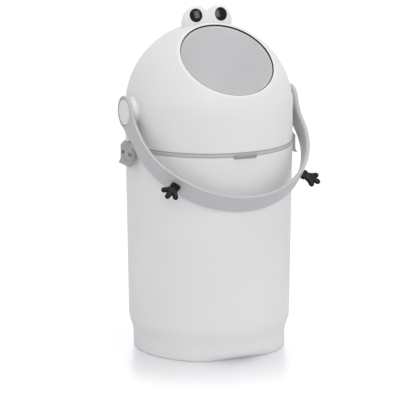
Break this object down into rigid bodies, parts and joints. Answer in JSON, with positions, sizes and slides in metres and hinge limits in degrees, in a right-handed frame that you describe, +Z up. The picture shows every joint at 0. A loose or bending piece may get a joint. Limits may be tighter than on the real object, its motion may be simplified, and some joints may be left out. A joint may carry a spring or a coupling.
{
  "type": "nappy bin",
  "caption": "Tall round nappy bin with a domed head, a rotating drum behind its mouth turned by a bow handle, frog-like eyes and side latches.",
  "frame": {"origin": "on the floor, at the centre of the flat underside, on the axis of the round body", "axes": "+Z up along the body's axis, -Y to the front where the mouth and the ring's tab are, +X to the right seen from the front; the drum turns about a line along X"},
  "size_m": [0.2796, 0.2934, 0.5185],
  "materials": {
    "white_plastic": "satin moulded white",
    "grey_plastic": "satin moulded light grey",
    "bowl_plastic": "satin moulded pale grey",
    "black_plastic": "glossy black",
    "black_rubber": "semi-gloss black rubber",
    "seal_rubber": "dark brown seal rubber",
    "acetal": "smooth bearing plastic",
    "steel": "plain bright steel"
  },
  "bodies": {
    "bin": {"bin_body": "white_plastic", "front_right_foot": "black_rubber", "rear_right_foot": "black_rubber", "rear_left_foot": "black_rubber", "front_left_foot": "black_rubber", "hinge_pin": "steel"},
    "ring": {"bag_ring": "grey_plastic"},
    "head": {"head_shell": "white_plastic", "head_floor": "white_plastic", "drum_seal": "seal_rubber", "eye_housing": "white_plastic", "left_eye": "black_plastic", "right_eye": "black_plastic", "mouth_gasket": "seal_rubber", "left_bush": "acetal", "right_bush": "acetal", "left_latch_pin": "steel", "right_latch_pin": "steel"},
    "drum": {"drum_shell": "white_plastic", "drum_bowl": "bowl_plastic", "left_trunnion": "acetal", "right_trunnion": "acetal", "handle": "grey_plastic", "left_hub_screw": "steel", "right_hub_screw": "steel", "left_hub_cap": "white_plastic", "right_hub_cap": "white_plastic", "left_hand": "black_rubber", "right_hand": "black_rubber"},
    "left_clip": {"left_latch": "grey_plastic"},
    "right_clip": {"right_latch": "grey_plastic"}
  },
  "joints": [
    {"name": "ring_lift", "type": "hinge", "parent": "bin", "child": "ring", "pos_m": [0, 0.134, 0.315], "axis": [-1, 0, 0], "range_deg": [0, 25]},
    {"name": "head_open", "type": "hinge", "parent": "ring", "child": "head", "pos_m": [0, 0.134, 0.315], "axis": [-1, 0, 0], "range_deg": [0, 80]},
    {"name": "drum_turn", "type": "hinge", "parent": "head", "child": "drum", "pos_m": [0, 0, 0.368], "axis": [-1, 0, 0], "range_deg": [0, 218]},
    {"name": "left_latch_swing", "type": "hinge", "parent": "head", "child": "left_clip", "pos_m": [-0.131, 0, 0.3175], "axis": [0, 1, 0], "range_deg": [0, 80]},
    {"name": "right_latch_swing", "type": "hinge", "parent": "head", "child": "right_clip", "pos_m": [0.131, 0, 0.3175], "axis": [0, -1, 0], "range_deg": [0, 80]}
  ]
}
